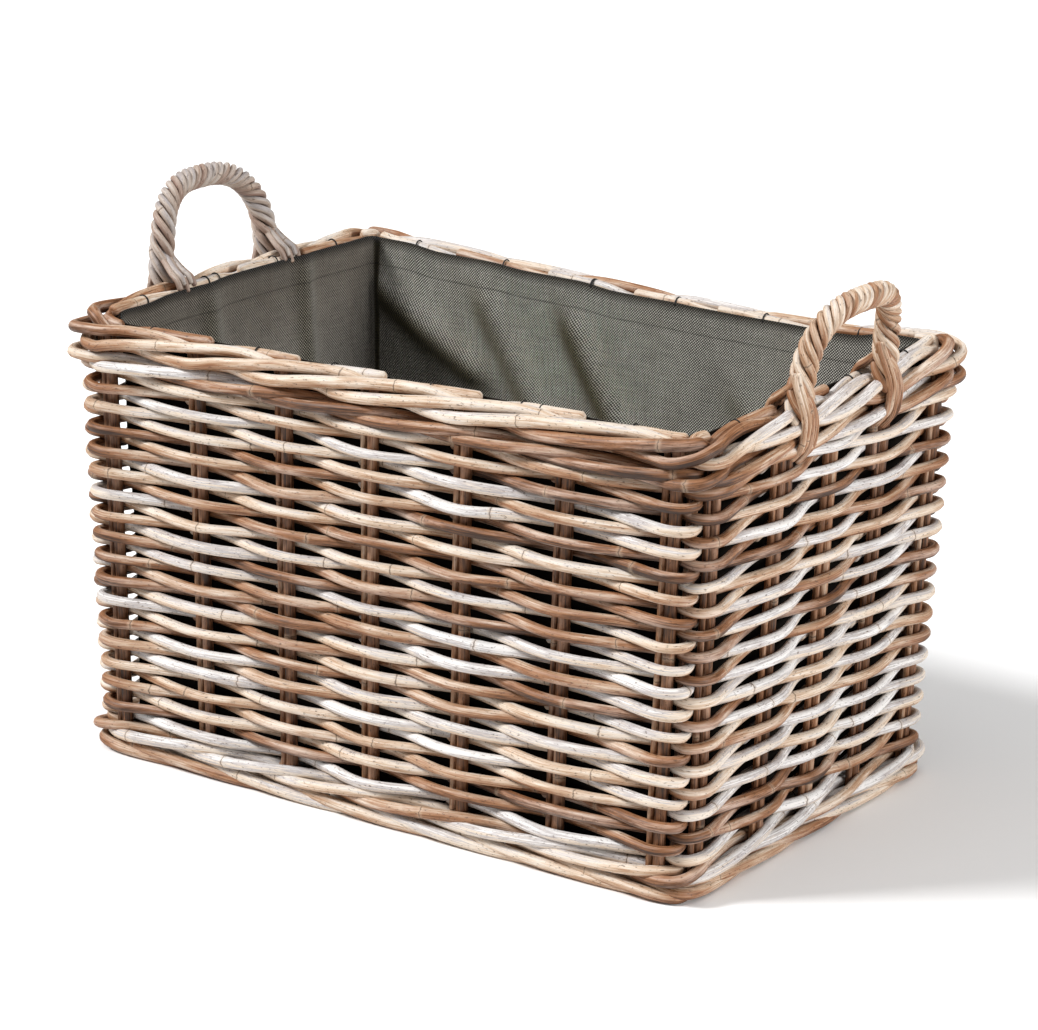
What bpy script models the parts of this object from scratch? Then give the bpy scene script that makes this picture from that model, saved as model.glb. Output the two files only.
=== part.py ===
"""Wicker log basket: a rectangular woven basket with two rope handles and a cloth liner.

It stands on its foot, centred on the origin, with its long side along X and +Z up.
The front wall faces -Y and the right wall faces +X. Sizes are in metres.

Each wall is built up in courses, from the floor: foot, bottom wale, weave, top wale and
rim border. Every course is a ring, mitred at the corners into four straight pieces.
Upright stakes stand in sockets that run through the courses. The liner hangs from the
inner edge of the border. Each handle is a bow with a rope wrapped round it, whose two
legs are pushed down into an end wall beside its stakes.
"""
import math

import bmesh
import bpy

# ---- Overall sizes ------------------------------------------------------------------
LENGTH = 0.660             # along X, over the rim border
WIDTH = 0.450              # along Y, over the rim border
HEIGHT = 0.400             # floor to the top of the rim border
HANDLE_HEIGHT = 0.490      # floor to the top of the handle ropes
LEAN_X = 0.011             # how far an end wall draws in from rim to floor
LEAN_Y = 0.012             # how far a long wall draws in from rim to floor
GAP = 0.0003               # clearance between two pieces that touch

# ---- Walls --------------------------------------------------------------------------
WALL_THICKNESS = 0.0274    # over the rods in front of and behind a stake
CORNER_RADIUS = 0.030      # outside corner in plan
INNER_CORNER_RADIUS = 0.004
FOOT_HEIGHT = 0.0137
FOOT_ROUNDING = 0.004
BOTTOM_WALE_HEIGHT = 0.0180
TOP_WALE_HEIGHT = 0.0150
BORDER_HEIGHT = 0.0255
BORDER_THICKNESS = 0.0310
BORDER_ROUNDING = 0.008

# ---- Stakes -------------------------------------------------------------------------
STAKE_WIDTH = 0.018        # a thick rod with thin ones beside it
STAKE_DEPTH = 0.009
STAKE_EDGE = 0.003         # flat that takes off a stake's corners
STAKE_HEAD_COVER = 0.010   # border left above the top of a stake
CORNER_STAKE_INSET = 0.024  # from the corner of the stake line to the nearest stake
# The stakes are spaced by eye, so some stand a little off an even spacing.
FRONT_SHIFTS = (0.0, 0.001, -0.002, -0.008, -0.009, -0.005, 0.001)
BACK_SHIFTS = (0.001, -0.003, 0.004, 0.002, -0.005, 0.003, 0.0)
RIGHT_SHIFTS = (0.0, 0.010, 0.003, -0.001, 0.0)
LEFT_SHIFTS = (0.0, 0.006, -0.002, -0.004, 0.0)

# ---- Base ---------------------------------------------------------------------------
BASE_THICKNESS = 0.012
BASE_STICKS = 5
BASE_STICK_RADIUS = 0.004

# ---- Liner --------------------------------------------------------------------------
LINER_THICKNESS = 0.0015
LINER_BELOW_RIM = 0.004
LINER_CORNER_RADIUS = 0.012

# ---- Handles ------------------------------------------------------------------------
ROPE_RADIUS = 0.0115
BOW_RADIUS = 0.005
BOW_DEPTH = 0.100          # length of a bow's legs below the rim
LEG_BESIDE_STAKE = 0.020   # from a stake's centre line to the leg's
SPRING_HEIGHT = 0.010      # straight rope above the rim, below the arch
LEAN_OUT = 0.020           # how far the top of the arch leans outwards
ARCH_STEPS = 24

# ---- Heights of the courses ---------------------------------------------------------
BOTTOM_WALE_LOW = FOOT_HEIGHT + GAP
BOTTOM_WALE_HIGH = BOTTOM_WALE_LOW + BOTTOM_WALE_HEIGHT
BORDER_LOW = HEIGHT - BORDER_HEIGHT
TOP_WALE_HIGH = BORDER_LOW - GAP
TOP_WALE_LOW = TOP_WALE_HIGH - TOP_WALE_HEIGHT
WEAVE_LOW = BOTTOM_WALE_HIGH + GAP
WEAVE_HIGH = TOP_WALE_LOW - GAP
BASE_LOW = BOTTOM_WALE_LOW
BASE_HIGH = BASE_LOW + BASE_THICKNESS
LINER_LOW = BASE_HIGH + GAP
LINER_HIGH = HEIGHT - LINER_BELOW_RIM
STAKE_LOW = BOTTOM_WALE_LOW
STAKE_HIGH = HEIGHT - STAKE_HEAD_COVER
PAST = 0.010               # how far a cutter runs past what it cuts
SIDES = ("front", "right", "back", "left")


def outer_half(z):
    """Half sizes of the wall's outside at height z: the walls lean out to the rim."""
    drop = 1.0 - z / HEIGHT
    return LENGTH / 2 - LEAN_X * drop, WIDTH / 2 - LEAN_Y * drop


def shrunk(half, inset):
    return half[0] - inset, half[1] - inset


# ---- Scene, collections and materials -----------------------------------------------
def clear_scene():
    for item in list(bpy.data.objects):
        bpy.data.objects.remove(item, do_unlink=True)


def collection(name):
    made = bpy.data.collections.new(name)
    bpy.context.scene.collection.children.link(made)
    return made


clear_scene()
BASKET = collection("wicker_log_basket")
CUTTERS = collection("cutters")


def material(name, colour, roughness):
    made = bpy.data.materials.new(name)
    made.use_nodes = True
    shader = made.node_tree.nodes["Principled BSDF"]
    shader.inputs["Base Color"].default_value = (*colour, 1.0)
    shader.inputs["Roughness"].default_value = roughness
    shader.inputs["Metallic"].default_value = 0.0
    return made


COLOURS = {
    "stake": (0.33, 0.20, 0.11),
    "weave": (0.50, 0.40, 0.31),
    "wale": (0.46, 0.35, 0.25),
    "border": (0.48, 0.37, 0.27),
    "foot": (0.42, 0.30, 0.20),
    "base": (0.36, 0.25, 0.16),
    "rope": (0.52, 0.39, 0.28),
    "liner": (0.10, 0.10, 0.08),
}


def own_material(item, finish):
    rough = 0.95 if finish == "liner" else 0.6
    item.data.materials.append(material(item.name + "_" + finish, COLOURS[finish], rough))


def as_cutter(item):
    item.hide_render = True
    item.display_type = "WIRE"


# ---- Shapes -------------------------------------------------------------------------
def block_mesh(low_half, high_half, low, high, corner, rounding=0.0, round_top=True):
    """A tapered box with rounded upright corners, and one rounded rim if asked."""
    bm = bmesh.new()
    bmesh.ops.create_cube(bm, size=2.0)
    for vert in bm.verts:
        half, height = (high_half, high) if vert.co.z > 0 else (low_half, low)
        vert.co = (vert.co.x * half[0], vert.co.y * half[1], height)
    uprights = [e for e in bm.edges if abs(e.verts[0].co.z - e.verts[1].co.z) > 1e-6]
    bmesh.ops.bevel(bm, geom=uprights, offset=corner, segments=4, profile=0.5,
                    affect="EDGES", material=-1)
    if rounding > 0.0:
        level = high if round_top else low
        rim = [e for e in bm.edges if all(abs(v.co.z - level) < 1e-6 for v in e.verts)]
        bmesh.ops.bevel(bm, geom=rim, offset=rounding, segments=2, profile=0.5,
                        affect="EDGES", material=-1)
    return bm


def add(name, bm, home):
    mesh = bpy.data.meshes.new(name)
    bm.to_mesh(mesh)
    bm.free()
    item = bpy.data.objects.new(name, mesh)
    home.objects.link(item)
    if home is CUTTERS:
        as_cutter(item)
    return item


def cut(item, cutter, operation="DIFFERENCE"):
    boolean = item.modifiers.new(cutter.name, "BOOLEAN")
    boolean.object = cutter
    boolean.operation = operation


def smooth(item, angle=40.0):
    item.data.shade_smooth()
    item.data.set_sharp_from_angle(angle=math.radians(angle))


# ---- Where the stakes and the handle legs stand -------------------------------------
def wall_spots(side):
    """Each stake's place along its wall, from -1 to 1 between the corner stakes."""
    shifts = {"front": FRONT_SHIFTS, "right": RIGHT_SHIFTS,
              "back": BACK_SHIFTS, "left": LEFT_SHIFTS}[side]
    last = len(shifts) - 1
    return [(2.0 * i / last - 1.0, shift) for i, shift in enumerate(shifts)]


def stake_centre(side, spot, z):
    """Centre of a stake at height z, on the middle line of its wall."""
    half_x, half_y = shrunk(outer_half(z), WALL_THICKNESS / 2)
    step, shift = spot
    if side in ("front", "back"):
        along = step * (half_x - CORNER_STAKE_INSET) + shift
        return along, -half_y if side == "front" else half_y
    along = step * (half_y - CORNER_STAKE_INSET) + shift
    return half_x if side == "right" else -half_x, along


def stake_mesh(side, spot, low, high, spare):
    """A leaning bar; spare is added all round, to cut the stake's socket."""
    bm = bmesh.new()
    bmesh.ops.create_cube(bm, size=2.0)
    half_width = STAKE_WIDTH / 2 + spare
    half_depth = STAKE_DEPTH / 2 + spare
    along_x = side in ("front", "back")
    half_x, half_y = (half_width, half_depth) if along_x else (half_depth, half_width)
    for vert in bm.verts:
        z = high if vert.co.z > 0 else low
        x, y = stake_centre(side, spot, z)
        vert.co = (x + vert.co.x * half_x, y + vert.co.y * half_y, z)
    uprights = [e for e in bm.edges if abs(e.verts[0].co.z - e.verts[1].co.z) > 1e-6]
    bmesh.ops.bevel(bm, geom=uprights, offset=STAKE_EDGE, segments=1, profile=0.5,
                    affect="EDGES", material=-1)
    return bm


def handle_legs(side):
    """The Y of a handle's two legs, each just inside the stake next to it."""
    spots = wall_spots(side)
    near = stake_centre(side, spots[1], HEIGHT)[1] + LEG_BESIDE_STAKE
    far = stake_centre(side, spots[-2], HEIGHT)[1] - LEG_BESIDE_STAKE
    return near, far


def handle_x(side):
    """The X that a handle's legs stand at, on the middle line of the wall's top."""
    half_x = outer_half(HEIGHT)[0] - WALL_THICKNESS / 2
    return half_x if side == "right" else -half_x


# ---- Cutters ------------------------------------------------------------------------
def socket_cutters(side):
    """One cutter for each stake of a wall."""
    made = []
    for number, spot in enumerate(wall_spots(side), 1):
        bm = stake_mesh(side, spot, STAKE_LOW - PAST, STAKE_HIGH + GAP, GAP)
        made.append(add(f"{side}_socket_{number}", bm, CUTTERS))
    return made


def leg_cutters(side):
    """The two upright channels that a handle's legs are pushed down."""
    made = []
    if side not in ("left", "right"):
        return made
    low, high = HEIGHT - BOW_DEPTH - GAP, HEIGHT + PAST
    for number, y in enumerate(handle_legs(side), 1):
        bm = bmesh.new()
        bmesh.ops.create_cone(bm, cap_ends=True, segments=12, depth=high - low,
                              radius1=BOW_RADIUS + 2 * GAP, radius2=BOW_RADIUS + 2 * GAP)
        bmesh.ops.translate(bm, verts=bm.verts, vec=(handle_x(side), y, (low + high) / 2))
        made.append(add(f"{side}_leg_channel_{number}", bm, CUTTERS))
    return made


def mitre_cutter(side):
    """A wedge that keeps one wall, cut at 45 degrees at both of its corners."""
    bm = bmesh.new()
    bmesh.ops.create_cube(bm, size=2.0)
    reach = WIDTH / 4
    half_long = (LENGTH if side in ("front", "back") else WIDTH) / 2
    half_across = (WIDTH if side in ("front", "back") else LENGTH) / 2
    sign = -1.0 if side in ("front", "left") else 1.0
    for vert in bm.verts:
        depth = -PAST if vert.co.y > 0 else reach
        along = vert.co.x * (half_long - depth - GAP)
        across = sign * (half_across - depth)
        z = HEIGHT + PAST if vert.co.z > 0 else -PAST
        vert.co = (along, across, z) if side in ("front", "back") else (across, along, z)
    bm.normal_update()
    bmesh.ops.recalc_face_normals(bm, faces=bm.faces)
    return add(side + "_mitre", bm, CUTTERS)


def hollow_cutter(name, low_half, high_half):
    bm = block_mesh(low_half, high_half, -PAST, HEIGHT + PAST, INNER_CORNER_RADIUS)
    return add(name, bm, CUTTERS)


WALL_HOLLOW = hollow_cutter("wall_hollow",
                            shrunk(outer_half(-PAST), WALL_THICKNESS),
                            shrunk(outer_half(HEIGHT + PAST), WALL_THICKNESS))
BORDER_HOLLOW = hollow_cutter("border_hollow",
                              shrunk(outer_half(HEIGHT), BORDER_THICKNESS),
                              shrunk(outer_half(HEIGHT), BORDER_THICKNESS))
MITRES = {side: mitre_cutter(side) for side in SIDES}
SOCKETS = {side: socket_cutters(side) for side in SIDES}
CHANNELS = {side: leg_cutters(side) for side in SIDES}


# ---- Courses of the walls -----------------------------------------------------------
def course(side, kind, low, high, finish, hollow, rounding=0.0, round_top=True, drilled=True):
    """One wall's piece of a course: a ring, hollowed, mitred and drilled for stakes."""
    bm = block_mesh(outer_half(low), outer_half(high), low, high, CORNER_RADIUS,
                    rounding, round_top)
    item = add(f"{side}_{kind}", bm, BASKET)
    cut(item, hollow)
    cut(item, MITRES[side], "INTERSECT")
    if drilled:
        for cutter in SOCKETS[side]:
            cut(item, cutter)
        for cutter in CHANNELS[side]:
            cut(item, cutter)
    own_material(item, finish)
    return item


for wall in SIDES:
    course(wall, "foot_border", 0.0, FOOT_HEIGHT, "foot", WALL_HOLLOW,
           rounding=FOOT_ROUNDING, round_top=False, drilled=False)
    course(wall, "bottom_wale", BOTTOM_WALE_LOW, BOTTOM_WALE_HIGH, "wale", WALL_HOLLOW)
    course(wall, "weave", WEAVE_LOW, WEAVE_HIGH, "weave", WALL_HOLLOW)
    course(wall, "top_wale", TOP_WALE_LOW, TOP_WALE_HIGH, "wale", WALL_HOLLOW)
    course(wall, "rim_border", BORDER_LOW, HEIGHT, "border", BORDER_HOLLOW,
           rounding=BORDER_ROUNDING)


# ---- Stakes -------------------------------------------------------------------------
for wall in SIDES:
    for number, spot in enumerate(wall_spots(wall), 1):
        stake = add(f"{wall}_stake_{number}",
                    stake_mesh(wall, spot, STAKE_LOW, STAKE_HIGH, 0.0), BASKET)
        own_material(stake, "stake")


# ---- Base ---------------------------------------------------------------------------
def cylinder_along_x(radius, length, y, z, segments=12):
    bm = bmesh.new()
    bmesh.ops.create_cone(bm, cap_ends=True, segments=segments, depth=length,
                          radius1=radius, radius2=radius)
    for vert in bm.verts:
        x, side_y, up = vert.co
        vert.co = (up, y + side_y, z - x)
    return bm


def base_half():
    return shrunk(outer_half(BASE_LOW), WALL_THICKNESS + GAP)


def make_base():
    """A woven panel on lengthwise sticks, inside the bottom wale."""
    half = base_half()
    bm = block_mesh(half, half, BASE_LOW, BASE_HIGH, INNER_CORNER_RADIUS + GAP)
    panel = add("base_weave", bm, BASKET)
    own_material(panel, "base")
    middle = (BASE_LOW + BASE_HIGH) / 2
    for number in range(1, BASE_STICKS + 1):
        y = half[1] * (2.0 * number / (BASE_STICKS + 1) - 1.0)
        socket = add(f"base_stick_socket_{number}",
                     cylinder_along_x(BASE_STICK_RADIUS + GAP, 2 * (half[0] + PAST), y, middle),
                     CUTTERS)
        cut(panel, socket)
        stick = add(f"base_stick_{number}",
                    cylinder_along_x(BASE_STICK_RADIUS, 2 * half[0], y, middle), BASKET)
        smooth(stick)
        own_material(stick, "base")


make_base()


# ---- Liner --------------------------------------------------------------------------
def make_liner():
    """An open-topped box of cloth that stands on the base and hangs from the border."""
    by_wall = shrunk(outer_half(LINER_LOW), WALL_THICKNESS + GAP)
    by_rim = shrunk(outer_half(LINER_HIGH), WALL_THICKNESS + GAP)
    by_border = shrunk(outer_half(HEIGHT), BORDER_THICKNESS + GAP)
    top = min(by_border[0], by_rim[0]), min(by_border[1], by_rim[1])
    bm = block_mesh(by_wall, top, LINER_LOW, LINER_HIGH, LINER_CORNER_RADIUS)
    liner = add("liner", bm, BASKET)
    slope = (top[0] - by_wall[0]) / (LINER_HIGH - LINER_LOW)
    slope_y = (top[1] - by_wall[1]) / (LINER_HIGH - LINER_LOW)
    inside_low = shrunk(by_wall, LINER_THICKNESS)
    inside_high = (top[0] + slope * PAST - LINER_THICKNESS,
                   top[1] + slope_y * PAST - LINER_THICKNESS)
    bm = block_mesh(inside_low, inside_high, LINER_LOW + LINER_THICKNESS, LINER_HIGH + PAST,
                    LINER_CORNER_RADIUS - LINER_THICKNESS)
    cut(liner, add("liner_inside", bm, CUTTERS))
    own_material(liner, "liner")


make_liner()


# ---- Handles ------------------------------------------------------------------------
def arch(side):
    """Points up one leg's spring, over the arch and down the other, from rim to rim."""
    near, far = handle_legs(side)
    middle, half = (near + far) / 2, (far - near) / 2
    out = 1.0 if side == "right" else -1.0
    spring = HEIGHT + SPRING_HEIGHT
    rise = HANDLE_HEIGHT - ROPE_RADIUS - spring
    points = []
    for step in range(ARCH_STEPS + 1):
        turn = math.pi * step / ARCH_STEPS
        points.append((handle_x(side) + out * LEAN_OUT * math.sin(turn) ** 2,
                       middle - half * math.cos(turn),
                       spring + rise * math.sin(turn)))
    return points


def tube(name, points, radius, resolution):
    """A tube along the points, as a mesh with its caps welded on."""
    curve = bpy.data.curves.new(name, "CURVE")
    curve.dimensions = "3D"
    curve.bevel_depth = radius
    curve.bevel_resolution = resolution
    curve.use_fill_caps = True
    spline = curve.splines.new("POLY")
    spline.points.add(len(points) - 1)
    for place, point in zip(spline.points, points):
        place.co = (*point, 1.0)
    drawn = bpy.data.objects.new(name + "_curve", curve)
    BASKET.objects.link(drawn)
    bpy.context.view_layer.update()
    graph = bpy.context.evaluated_depsgraph_get()
    mesh = bpy.data.meshes.new_from_object(drawn.evaluated_get(graph))
    bpy.data.objects.remove(drawn, do_unlink=True)
    bm = bmesh.new()
    bm.from_mesh(mesh)
    bpy.data.meshes.remove(mesh)
    bmesh.ops.remove_doubles(bm, verts=bm.verts, dist=1e-5)
    bmesh.ops.recalc_face_normals(bm, faces=bm.faces)
    return bm


def with_legs(points, low):
    """The same points with a straight leg added down to a height at both ends."""
    first, last = points[0], points[-1]
    return [(first[0], first[1], low)] + points + [(last[0], last[1], low)]


def make_handle(side):
    points = arch(side)
    bow = add(side + "_handle_bow",
              tube("bow", with_legs(points, HEIGHT - BOW_DEPTH), BOW_RADIUS, 2), BASKET)
    smooth(bow)
    own_material(bow, "rope")
    rope = add(side + "_handle_rope",
               tube("rope", with_legs(points, HEIGHT + GAP), ROPE_RADIUS, 3), BASKET)
    smooth(rope)
    inside = add(side + "_rope_inside",
                 tube("inside", with_legs(points, HEIGHT - PAST), BOW_RADIUS + GAP, 2), CUTTERS)
    cut(rope, inside)
    own_material(rope, "rope")


for end in ("left", "right"):
    make_handle(end)
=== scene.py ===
# %% [markdown]
# # A wicker log basket
#
# A log basket is woven from rattan rods. Upright stakes stand round a rectangular base, long rods
# weave in front of one stake and behind the next, and the ends of the stakes turn down at the top
# as a thick plaited border. Two roped handles stand on the short sides, and a cloth liner hangs
# inside. This lesson builds every rod as its own round length, because light that falls into the
# gaps between real rods is what makes wicker look like wicker.

# %% Load the frame
import math
import random

import bmesh
import bpy
from mathutils import Matrix, Vector, noise


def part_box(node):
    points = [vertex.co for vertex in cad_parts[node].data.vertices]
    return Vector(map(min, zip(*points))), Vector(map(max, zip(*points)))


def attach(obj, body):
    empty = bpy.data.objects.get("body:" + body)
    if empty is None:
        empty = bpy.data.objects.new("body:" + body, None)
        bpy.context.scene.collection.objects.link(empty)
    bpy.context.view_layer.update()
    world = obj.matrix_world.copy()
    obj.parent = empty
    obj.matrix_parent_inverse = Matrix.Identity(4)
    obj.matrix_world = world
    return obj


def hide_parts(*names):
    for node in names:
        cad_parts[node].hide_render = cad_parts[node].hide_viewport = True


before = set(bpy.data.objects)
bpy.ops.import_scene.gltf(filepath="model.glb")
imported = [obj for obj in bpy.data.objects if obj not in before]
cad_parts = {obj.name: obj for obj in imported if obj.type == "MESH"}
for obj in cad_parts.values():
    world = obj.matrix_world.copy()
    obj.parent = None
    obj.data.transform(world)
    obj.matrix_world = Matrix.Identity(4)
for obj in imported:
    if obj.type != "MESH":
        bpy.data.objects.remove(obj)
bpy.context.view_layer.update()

print("frame loaded:", len(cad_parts), "nodes")

# %% [markdown]
# ## The camera
# The camera is a long lens a few steps away, a little above the rim and to the right of the front,
# so the front and the right side both show and the upright lines stay nearly upright.

# %% Camera
CAMERA_PLACE = (1.841, -2.744, 1.224)
CAMERA_TURN = math.radians(33.79)
CAMERA_DOWN = math.radians(16.74)
CAMERA_ROLL = math.radians(1.57)
CAMERA_LENS = 134.5  # mm
CAMERA_SENSOR = 36.0  # mm across

lens = bpy.data.cameras.new("camera")
lens.lens = CAMERA_LENS
lens.sensor_width = CAMERA_SENSOR
lens.sensor_fit = "HORIZONTAL"
camera = bpy.data.objects.new("camera", lens)
camera.matrix_world = (
    Matrix.Translation(CAMERA_PLACE)
    @ Matrix.Rotation(CAMERA_TURN, 4, "Z")
    @ Matrix.Rotation(math.pi / 2 - CAMERA_DOWN, 4, "X")
    @ Matrix.Rotation(CAMERA_ROLL, 4, "Z")
)
bpy.context.scene.collection.objects.link(camera)
bpy.context.scene.camera = camera
print("camera lens", lens.lens, "mm")

# %% [markdown]
# ## Light and floor
# Wicker needs side light, so each rod shows a pale edge and a browner underside. One soft light
# comes from the left, one lower from the right, and a wide one from above. They are suns with a
# large angle, which are as soft as big lamps but light the whole floor evenly. The world fills in
# only a little, so the gaps stay dark.

# %% Light and floor
LIGHTS = (  # name, degrees round from the front, degrees up, strength, width in degrees
    ("left_light", -48, 42, 3.7, 16),
    ("right_light", 100, 15, 2.5, 22),
    ("top_light", 20, 80, 0.9, 60),
)
WORLD_STRENGTH = 0.20
FLOOR_HALF = 14.0


def soft_light(name, turn, height, strength, softness):
    """A far light that shines on the basket from the given side and height."""
    light = bpy.data.lights.new(name, "SUN")
    light.energy = strength
    light.angle = math.radians(softness)
    turn, height = math.radians(turn), math.radians(height)
    source = Vector((math.sin(turn) * math.cos(height), -math.cos(turn) * math.cos(height),
                     math.sin(height)))
    lamp = bpy.data.objects.new(name, light)
    lamp.matrix_world = source.to_track_quat("Z", "Y").to_matrix().to_4x4()
    bpy.context.scene.collection.objects.link(lamp)


for light_facts in LIGHTS:
    soft_light(*light_facts)

world = bpy.data.worlds.new("studio")
world.use_nodes = True
world.node_tree.nodes["Background"].inputs["Color"].default_value = (1.0, 1.0, 1.0, 1.0)
world.node_tree.nodes["Background"].inputs["Strength"].default_value = WORLD_STRENGTH
bpy.context.scene.world = world
bpy.context.scene.view_settings.view_transform = "Standard"

floor_shape = bmesh.new()
bmesh.ops.create_grid(floor_shape, x_segments=1, y_segments=1, size=FLOOR_HALF)
floor_mesh = bpy.data.meshes.new("floor")
floor_shape.to_mesh(floor_mesh)
floor_shape.free()
floor = bpy.data.objects.new("floor", floor_mesh)
bpy.context.scene.collection.objects.link(floor)
print(len(LIGHTS), "lights and a floor", 2 * FLOOR_HALF, "m wide")

# %% [markdown]
# ## Building materials from nodes
# All the finishes are built from nodes, with one small helper that adds a node and joins its
# sockets. Colours are given as a screen shows them and turned into light values here.

# %% Node helpers
SOCKETS = {"colour": "Base Color", "roughness": "Roughness", "shine": "Specular IOR Level",
           "fuzz": "Sheen Weight", "fuzz_roughness": "Sheen Roughness"}


def shade(red, green, blue):
    """A screen colour, 0 to 1 a channel, as the linear colour that nodes expect."""
    linear = [((c + 0.055) / 1.055) ** 2.4 if c > 0.04045 else c / 12.92
              for c in (red, green, blue)]
    return (*linear, 1.0)


def add_node(tree, kind, sockets=(), **settings):
    """Adds a node; sockets pairs an input with a value or with another node's output."""
    made = tree.nodes.new(kind)
    for name, value in settings.items():
        setattr(made, name, value)
    for key, value in dict(sockets).items():
        if isinstance(value, bpy.types.NodeSocket):
            tree.links.new(value, made.inputs[key])
        else:
            made.inputs[key].default_value = value
    return made


def sums(tree, operation, first, second=0.0, clamp=False):
    """The output of one Math node."""
    made = add_node(tree, "ShaderNodeMath", {0: first, 1: second}, operation=operation)
    made.use_clamp = clamp
    return made.outputs[0]


def plus(tree, first, second):
    """The sum of two values."""
    return sums(tree, "ADD", first, second)


def minus(tree, first, second, clamp=False):
    """The first value less the second."""
    return sums(tree, "SUBTRACT", first, second, clamp)


def times(tree, first, second, clamp=False):
    """The product of two values."""
    return sums(tree, "MULTIPLY", first, second, clamp)


def mask(tree, first, second, steepness):
    """0 where the first value is below the second, rising to 1 as it goes above it."""
    return times(tree, minus(tree, first, second), steepness, True)


def near_line(tree, distance, rate):
    """1 on a line and less beside it, where distance is how far away the line is."""
    return minus(tree, 1.0, times(tree, distance, rate), True)


def varied(tree, tone, pattern, amount):
    """A tone made lighter and darker by a pattern whose middle is 0.5."""
    pattern = minus(tree, pattern, 0.5)
    return plus(tree, tone, times(tree, pattern, amount))


def ramp(tree, factor, stops):
    """The colour of a ColorRamp whose stops are (place, colour)."""
    made = add_node(tree, "ShaderNodeValToRGB", {"Fac": factor})
    points = made.color_ramp.elements
    while len(points) < len(stops):
        points.new(0.5)
    for point, (place, colour) in zip(points, stops):
        point.position = place
        point.color = colour
    return made.outputs["Color"]


def mixed(tree, factor, first, second, blend="MIX"):
    """The colour of a Mix node."""
    made = add_node(tree, "ShaderNodeMix", {0: factor, 6: first, 7: second}, data_type="RGBA",
                    blend_type=blend)
    return made.outputs[2]


def speckle(tree, where, scale, detail=2.0, rough=0.5):
    """The value of a Noise texture."""
    made = add_node(tree, "ShaderNodeTexNoise",
                    {"Vector": where, "Scale": scale, "Detail": detail, "Roughness": rough})
    return made.outputs["Fac"]


def stretched(tree, where, scale):
    """Coordinates stretched by scale."""
    made = add_node(tree, "ShaderNodeMapping", {"Vector": where, "Scale": scale})
    return made.outputs["Vector"]


def new_finish(name, **levels):
    """A material, its node tree and its Principled shader, with levels set on its sockets."""
    finish = bpy.data.materials.new(name)
    finish.use_nodes = True
    tree = finish.node_tree
    shader = tree.nodes["Principled BSDF"]
    for level, value in levels.items():
        shader.inputs[SOCKETS[level]].default_value = value
    return finish, tree, shader


floor_paper = new_finish("floor_paper", colour=shade(0.97, 0.97, 0.97), roughness=0.9, shine=0.1)
floor_mesh.materials.append(floor_paper[0])
print("node helpers ready")

# %% [markdown]
# ## The rattan finish
# Whitewashed rattan is never one colour. Every rod has its own tone between brown, peach, cream
# and a greyish wash. The wash lies in long patches, and the upper side of a rod is painted paler
# than the underside, as painted light from above. Fine lines run along the rod, dark flecks sit in
# its skin, and every 21 cm there is a ring where a leaf grew. Each rod carries two attributes for
# this: "tint", its own tone, and "grain", a place on the unrolled rod whose last number runs along
# it, so the pattern follows the rod round every bend.

# %% Rattan
RING_SPACING = 0.21
PATCH_FINENESS = (110.0, 110.0, 13.0)  # patterns are fine across the rod and long along it
LINE_FINENESS = (1000.0, 1000.0, 26.0)
FLECK_FINENESS = (620.0, 620.0, 260.0)
PATCH_CONTRAST = 0.9
LINE_CONTRAST = 0.9
# how much paler the upward side of a rod is painted: painted light from above
TOP_PAINTED_LIGHT = 0.15
WASH = shade(0.90, 0.87, 0.84)
GREY = shade(0.50, 0.46, 0.46)
FLECK = shade(0.25, 0.15, 0.08)
RING = shade(0.22, 0.13, 0.07)
BESIDE_RING = shade(0.80, 0.71, 0.61)
LEAST_ROUGHNESS = 0.4
TONES = [
    (0.00, shade(0.20, 0.12, 0.07)),
    (0.14, shade(0.41, 0.26, 0.15)),
    (0.30, shade(0.57, 0.39, 0.26)),
    (0.46, shade(0.67, 0.54, 0.43)),
    (0.60, shade(0.78, 0.69, 0.60)),
    (0.74, shade(0.85, 0.80, 0.74)),
    (0.87, shade(0.64, 0.61, 0.61)),
    (1.00, shade(0.87, 0.86, 0.85)),
]


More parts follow.
